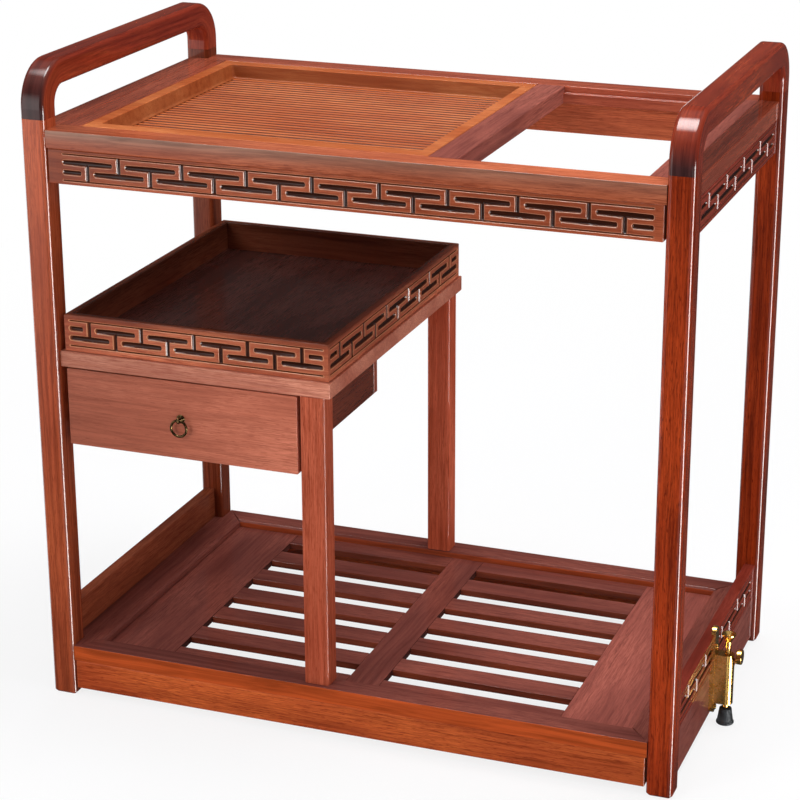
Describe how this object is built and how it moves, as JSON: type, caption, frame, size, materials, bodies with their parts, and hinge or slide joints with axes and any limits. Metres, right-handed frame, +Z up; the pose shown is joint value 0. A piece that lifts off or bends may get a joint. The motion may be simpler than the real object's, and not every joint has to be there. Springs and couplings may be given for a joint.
{
  "type": "gongfu tea table",
  "caption": "Standing tea table with a ribbed tea tray, open stove bay, waste-water tray over a drawer, slatted shelf, side handles and a foot brake.",
  "frame": {"origin": "on the floor, under the middle of the box around table and brake", "axes": "+X along the table towards the brake, +Y to the back (the drawer opens towards -Y), +Z up"},
  "size_m": [0.853, 0.4882, 0.82],
  "materials": {
    "frame_wood": "glossy reddish-brown stain",
    "tray_wood": "satin orange-brown",
    "dark_wood": "dark glossy stain",
    "drawer_wood": "matt plain wood inside the drawer case",
    "brass": "antique brass",
    "spring_steel": "drawn wire",
    "rubber": "matt dark rubber"
  },
  "bodies": {
    "table": {"brake_bracket": "brass", "brake_screws": "brass", "brake_spring": "spring_steel", "cabinet_board": "frame_wood", "cabinet_leg_back": "frame_wood", "cabinet_leg_front": "frame_wood", "case_back": "frame_wood", "case_left_side": "frame_wood", "case_right_side": "frame_wood", "drawer_runners": "drawer_wood", "handle_bar_left": "frame_wood", "handle_bar_right": "frame_wood", "handle_corner_back_left": "frame_wood", "handle_corner_back_right": "frame_wood", "handle_corner_front_left": "frame_wood", "handle_corner_front_right": "frame_wood", "leg_back_left": "frame_wood", "leg_back_right": "frame_wood", "leg_front_left": "frame_wood", "leg_front_right": "frame_wood", "shelf_back_apron": "frame_wood", "shelf_back_rail": "frame_wood", "shelf_centre_board": "frame_wood", "shelf_end_boards": "frame_wood", "shelf_front_apron": "frame_wood", "shelf_front_rail": "frame_wood", "shelf_left_apron": "frame_wood", "shelf_left_board": "frame_wood", "shelf_left_rail": "frame_wood", "shelf_right_apron": "frame_wood", "shelf_right_board": "frame_wood", "shelf_right_rail": "frame_wood", "shelf_slats": "frame_wood", "top_back_apron": "frame_wood", "top_back_rail": "frame_wood", "top_front_apron": "frame_wood", "top_front_rail": "frame_wood", "top_left_apron": "frame_wood", "top_left_rail": "frame_wood", "top_left_side_rail": "frame_wood", "top_right_apron": "frame_wood", "top_right_rail": "frame_wood", "top_right_side_rail": "frame_wood", "tray_crossbar": "frame_wood"},
    "tea_tray": {"tea_tray": "tray_wood"},
    "waste_tray": {"waste_tray_back": "dark_wood", "waste_tray_floor": "dark_wood", "waste_tray_front": "dark_wood", "waste_tray_left": "dark_wood", "waste_tray_right": "dark_wood"},
    "drawer": {"drawer_front": "frame_wood", "drawer_left_side": "drawer_wood", "drawer_right_side": "drawer_wood", "drawer_back": "drawer_wood", "drawer_bottom": "drawer_wood", "pull_post": "brass"},
    "pull_ring": {"pull_ring": "brass"},
    "brake_plunger": {"brake_plunger": "brass", "brake_foot": "rubber"},
    "release_lever": {"release_lever": "brass"}
  },
  "joints": [
    {"name": "drawer_slide", "type": "slide", "parent": "table", "child": "drawer", "axis": [0, -1, 0], "range_m": [0, 0.17]},
    {"name": "ring_swing", "type": "hinge", "parent": "drawer", "child": "pull_ring", "pos_m": [-0.2335, -0.2415, 0.397], "axis": [-1, 0, 0], "range_deg": [0, 100]},
    {"name": "tea_tray_lift", "type": "slide", "parent": "table", "child": "tea_tray", "axis": [0, 0, 1], "range_m": [0, 0.12]},
    {"name": "waste_tray_pull", "type": "slide", "parent": "table", "child": "waste_tray", "axis": [1, 0, 0], "range_m": [0, 0.38]},
    {"name": "brake_plunge", "type": "slide", "parent": "table", "child": "brake_plunger", "axis": [0, 0, -1], "range_m": [0, 0.016], "stiffness_N_per_m": 400, "springref_m": -0.02, "deforming": ["brake_spring"]},
    {"name": "lever_tilt", "type": "hinge", "parent": "table", "child": "release_lever", "pos_m": [0.3965, -0.03, 0.088], "axis": [0, 1, 0], "range_deg": [0, 8], "stiffness_Nm_per_rad": 0.3, "springref_deg": -5.73}
  ]
}
